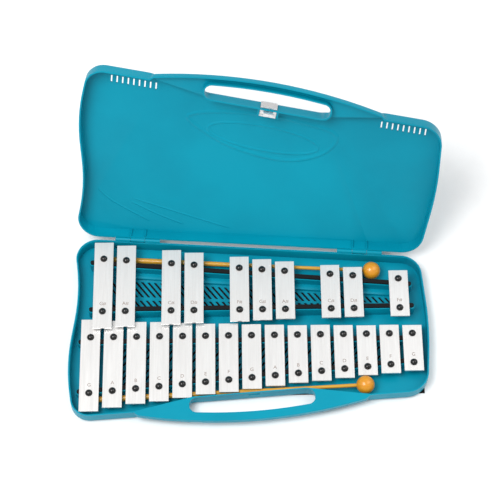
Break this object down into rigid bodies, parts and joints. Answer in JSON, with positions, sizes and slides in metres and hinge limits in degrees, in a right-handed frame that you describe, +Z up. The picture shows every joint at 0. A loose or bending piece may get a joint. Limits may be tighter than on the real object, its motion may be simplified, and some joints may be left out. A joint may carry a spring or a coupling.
{
  "type": "glockenspiel",
  "caption": "Glockenspiel of two rows of tuned steel bars in a hinged teal carrying case with a handle, standing open with a mallet along each side.",
  "frame": {"origin": "on the underside of the base, below the middle of the instrument (the pin hole line of the middle natural bar, midway between the rows)", "axes": "+X along the rows of bars from low notes to high, +Y from the player to the hinge, +Z up"},
  "size_m": [0.4741, 0.3884, 0.2442],
  "materials": {
    "case_plastic": "satin moulded plastic",
    "bar_steel": "fine brushed, plated",
    "strip_rubber": "matt",
    "pin_black": "glossy dome",
    "sleeve_rubber": "matt",
    "mallet_stick": "satin",
    "mallet_head": "satin",
    "pin_steel": "plain drawn rod",
    "latch_metal": "bright plated sheet"
  },
  "bodies": {
    "base": {"case_base": "case_plastic", "hinge_pin_left": "pin_steel", "hinge_pin_right": "pin_steel", "rail_strip_natural_front": "strip_rubber", "rail_strip_natural_back": "strip_rubber", "rail_strip_sharp_front": "strip_rubber", "rail_strip_sharp_back": "strip_rubber", "bar_g5": "bar_steel", "bar_a5": "bar_steel", "bar_b5": "bar_steel", "bar_c6": "bar_steel", "bar_d6": "bar_steel", "bar_e6": "bar_steel", "bar_f6": "bar_steel", "bar_g6": "bar_steel", "bar_a6": "bar_steel", "bar_b6": "bar_steel", "bar_c7": "bar_steel", "bar_d7": "bar_steel", "bar_e7": "bar_steel", "bar_f7": "bar_steel", "bar_g7": "bar_steel", "bar_g5_sharp": "bar_steel", "bar_a5_sharp": "bar_steel", "bar_c6_sharp": "bar_steel", "bar_d6_sharp": "bar_steel", "bar_f6_sharp": "bar_steel", "bar_g6_sharp": "bar_steel", "bar_a6_sharp": "bar_steel", "bar_c7_sharp": "bar_steel", "bar_d7_sharp": "bar_steel", "bar_f7_sharp": "bar_steel", "natural_bar_pins": "pin_black", "natural_pin_sleeves": "sleeve_rubber", "sharp_bar_pins": "pin_black", "sharp_pin_sleeves": "sleeve_rubber"},
    "lid": {"case_lid": "case_plastic", "latch_pin": "pin_steel"},
    "latch": {"latch_lever": "latch_metal"},
    "mallet_front": {"mallet_front_stick": "mallet_stick", "mallet_front_head": "mallet_head"},
    "mallet_back": {"mallet_back_stick": "mallet_stick", "mallet_back_head": "mallet_head"}
  },
  "joints": [
    {"name": "lid_hinge", "type": "hinge", "parent": "base", "child": "lid", "pos_m": [0, 0.11051, 0.02015], "axis": [0.9973, -0.0741, 0], "range_deg": [0, 116.8]},
    {"name": "latch_pivot", "type": "hinge", "parent": "lid", "child": "latch", "pos_m": [0.02376, 0.20289, 0.19638], "axis": [0.9815, -0.1393, -0.131], "range_deg": [-10, 0]},
    {"name": "mallet_front_slide", "type": "slide", "parent": "base", "child": "mallet_front", "axis": [0.9994, 0.036, 0], "range_m": [0, 0.012]},
    {"name": "mallet_back_slide", "type": "slide", "parent": "base", "child": "mallet_back", "axis": [0.9973, -0.0738, 0], "range_m": [0, 0.009]}
  ]
}
